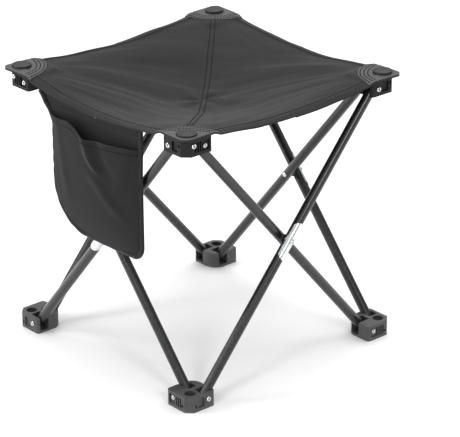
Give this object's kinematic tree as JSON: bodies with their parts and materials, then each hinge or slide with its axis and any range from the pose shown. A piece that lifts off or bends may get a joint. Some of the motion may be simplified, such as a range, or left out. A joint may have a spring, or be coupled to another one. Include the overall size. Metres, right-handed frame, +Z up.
{
  "type": "folding camp stool",
  "caption": "Folding camp stool with crossed tube sides, moulded corner joints, a sling seat and a side pocket.",
  "frame": {"origin": "centre of the plan box, on the floor under the open stool", "axes": "+Z up, -Y out of the side with the pocket, +X to the right seen from that side"},
  "size_m": [0.372, 0.3838, 0.3806],
  "materials": {
    "tube_coat": "satin black powder coat",
    "joint_plastic": "fine moulded texture",
    "cap_plastic": "matt black",
    "rivet_steel": "plated steel",
    "saddle_steel": "bright plated steel",
    "washer_plastic": "dark nylon",
    "patch_fabric": "coated cloth, slight sheen",
    "seat_fabric": "dark grey oxford weave",
    "pocket_fabric": "dark grey oxford weave"
  },
  "bodies": {
    "front_left_foot": {"front_left_foot": "joint_plastic", "left_inner_foot_pin": "rivet_steel", "front_outer_foot_pin": "rivet_steel"},
    "front_right_foot": {"front_right_foot": "joint_plastic", "front_inner_foot_pin": "rivet_steel", "right_outer_foot_pin": "rivet_steel"},
    "front_right_hub": {"front_right_hub": "joint_plastic", "right_inner_hub_pin": "rivet_steel", "front_outer_hub_pin": "rivet_steel", "front_right_seat_cap": "cap_plastic", "front_right_cap_pin": "rivet_steel"},
    "back_right_foot": {"back_right_foot": "joint_plastic", "right_inner_foot_pin": "rivet_steel", "back_outer_foot_pin": "rivet_steel"},
    "back_right_hub": {"back_right_hub": "joint_plastic", "back_inner_hub_pin": "rivet_steel", "right_outer_hub_pin": "rivet_steel", "back_right_seat_cap": "cap_plastic", "back_right_cap_pin": "rivet_steel"},
    "back_left_foot": {"back_left_foot": "joint_plastic", "back_inner_foot_pin": "rivet_steel", "left_outer_foot_pin": "rivet_steel"},
    "back_left_hub": {"back_left_hub": "joint_plastic", "left_inner_hub_pin": "rivet_steel", "back_outer_hub_pin": "rivet_steel", "back_left_seat_cap": "cap_plastic", "back_left_cap_pin": "rivet_steel", "seat_back_strip": "seat_fabric"},
    "front_left_hub": {"front_left_hub": "joint_plastic", "front_inner_hub_pin": "rivet_steel", "left_outer_hub_pin": "rivet_steel", "front_left_seat_cap": "cap_plastic", "front_left_cap_pin": "rivet_steel", "seat_front_strip": "seat_fabric", "pocket_back_panel": "pocket_fabric", "pocket_front_panel": "pocket_fabric"},
    "front_outer_tube": {"front_outer_tube": "tube_coat", "front_saddle_plate": "saddle_steel", "front_scissor_rivet": "rivet_steel", "front_pivot_washer": "washer_plastic"},
    "front_inner_tube": {"front_inner_tube": "tube_coat"},
    "right_outer_tube": {"right_outer_tube": "tube_coat", "right_saddle_plate": "saddle_steel", "right_scissor_rivet": "rivet_steel", "right_pivot_washer": "washer_plastic"},
    "right_inner_tube": {"right_inner_tube": "tube_coat"},
    "back_outer_tube": {"back_outer_tube": "tube_coat", "back_saddle_plate": "saddle_steel", "back_scissor_rivet": "rivet_steel", "back_pivot_washer": "washer_plastic"},
    "back_inner_tube": {"back_inner_tube": "tube_coat"},
    "left_outer_tube": {"left_outer_tube": "tube_coat", "left_saddle_plate": "saddle_steel", "left_scissor_rivet": "rivet_steel", "left_pivot_washer": "washer_plastic"},
    "left_inner_tube": {"left_inner_tube": "tube_coat"},
    "seat_front": {"seat_front_panel": "seat_fabric"},
    "seat_back": {"seat_back_panel": "seat_fabric"}
  },
  "joints": [
    {"name": "main_fold", "type": "hinge", "parent": "front_left_foot", "child": "front_outer_tube", "pos_m": [-0.148, -0.16365, 0.0125], "axis": [0, -1, 0], "range_deg": [0, 34.3], "deforming": ["seat_front_strip", "seat_front_panel", "seat_back_panel", "seat_back_strip", "pocket_back_panel", "pocket_front_panel"]},
    {"name": "front_scissor", "type": "hinge", "parent": "front_outer_tube", "child": "front_inner_tube", "pos_m": [0, -0.15615, 0.187], "axis": [0, -1, 0], "range_deg": [-68.61, 0]},
    {"name": "front_outer_hub_pivot", "type": "hinge", "parent": "front_outer_tube", "child": "front_right_hub", "pos_m": [0.148, -0.16365, 0.3615], "axis": [0, -1, 0], "range_deg": [-34.31, 0]},
    {"name": "front_inner_hub_pivot", "type": "hinge", "parent": "front_inner_tube", "child": "front_left_hub", "pos_m": [-0.148, -0.14865, 0.3615], "axis": [0, -1, 0], "range_deg": [0, 34.31]},
    {"name": "front_inner_foot_pivot", "type": "hinge", "parent": "front_inner_tube", "child": "front_right_foot", "pos_m": [0.148, -0.14865, 0.0125], "axis": [0, -1, 0], "range_deg": [0, 34.31]},
    {"name": "left_inner_foot_pivot", "type": "hinge", "parent": "front_left_foot", "child": "left_inner_tube", "pos_m": [-0.1545, -0.14215, 0.0125], "axis": [1, 0, 0], "range_deg": [0, 34.31]},
    {"name": "left_scissor", "type": "hinge", "parent": "left_inner_tube", "child": "left_outer_tube", "pos_m": [-0.162, 0.00585, 0.187], "axis": [1, 0, 0], "range_deg": [-68.61, 0]},
    {"name": "left_inner_hub_pivot", "type": "hinge", "parent": "left_inner_tube", "child": "back_left_hub", "pos_m": [-0.1545, 0.15385, 0.3615], "axis": [1, 0, 0], "range_deg": [-34.31, 0]},
    {"name": "left_outer_foot_pivot", "type": "hinge", "parent": "left_outer_tube", "child": "back_left_foot", "pos_m": [-0.1695, 0.15385, 0.0125], "axis": [1, 0, 0], "range_deg": [0, 34.31]},
    {"name": "right_outer_foot_pivot", "type": "hinge", "parent": "front_right_foot", "child": "right_outer_tube", "pos_m": [0.1695, -0.14215, 0.0125], "axis": [1, 0, 0], "range_deg": [0, 34.31]},
    {"name": "right_scissor", "type": "hinge", "parent": "right_outer_tube", "child": "right_inner_tube", "pos_m": [0.162, 0.00585, 0.187], "axis": [1, 0, 0], "range_deg": [-68.61, 0]},
    {"name": "right_outer_hub_pivot", "type": "hinge", "parent": "right_outer_tube", "child": "back_right_hub", "pos_m": [0.1695, 0.15385, 0.3615], "axis": [1, 0, 0], "range_deg": [-34.31, 0]},
    {"name": "right_inner_foot_pivot", "type": "hinge", "parent": "right_inner_tube", "child": "back_right_foot", "pos_m": [0.1545, 0.15385, 0.0125], "axis": [1, 0, 0], "range_deg": [0, 34.31]},
    {"name": "back_inner_foot_pivot", "type": "hinge", "parent": "back_left_foot", "child": "back_inner_tube", "pos_m": [-0.148, 0.16035, 0.0125], "axis": [0, -1, 0], "range_deg": [0, 34.31]},
    {"name": "back_scissor", "type": "hinge", "parent": "back_inner_tube", "child": "back_outer_tube", "pos_m": [0, 0.16785, 0.187], "axis": [0, -1, 0], "range_deg": [-68.61, 0]},
    {"name": "seat_front_fold", "type": "hinge", "parent": "front_left_hub", "child": "seat_front", "pos_m": [0, -0.13015, 0.363], "axis": [-1, 0, 0], "range_deg": [0, 76.01]},
    {"name": "seat_back_fold", "type": "hinge", "parent": "back_left_hub", "child": "seat_back", "pos_m": [0, 0.14185, 0.363], "axis": [1, 0, 0], "range_deg": [0, 76.01]}
  ],
  "couplings": [
    {"joint": "front_scissor", "follows": "main_fold", "ratio": -2},
    {"joint": "front_outer_hub_pivot", "follows": "main_fold", "ratio": -1},
    {"joint": "front_inner_hub_pivot", "follows": "main_fold", "ratio": 1},
    {"joint": "front_inner_foot_pivot", "follows": "main_fold", "ratio": 1},
    {"joint": "left_inner_foot_pivot", "follows": "main_fold", "ratio": 1},
    {"joint": "left_scissor", "follows": "main_fold", "ratio": -2},
    {"joint": "left_inner_hub_pivot", "follows": "main_fold", "ratio": -1},
    {"joint": "left_outer_foot_pivot", "follows": "main_fold", "ratio": 1},
    {"joint": "right_outer_foot_pivot", "follows": "main_fold", "ratio": 1},
    {"joint": "right_scissor", "follows": "main_fold", "ratio": -2},
    {"joint": "right_outer_hub_pivot", "follows": "main_fold", "ratio": -1},
    {"joint": "right_inner_foot_pivot", "follows": "main_fold", "ratio": 1},
    {"joint": "back_inner_foot_pivot", "follows": "main_fold", "ratio": 1},
    {"joint": "back_scissor", "follows": "main_fold", "ratio": -2},
    {"joint": "seat_front_fold", "follows": "main_fold", "ratio": 2.2157},
    {"joint": "seat_back_fold", "follows": "main_fold", "ratio": 2.2157}
  ]
}
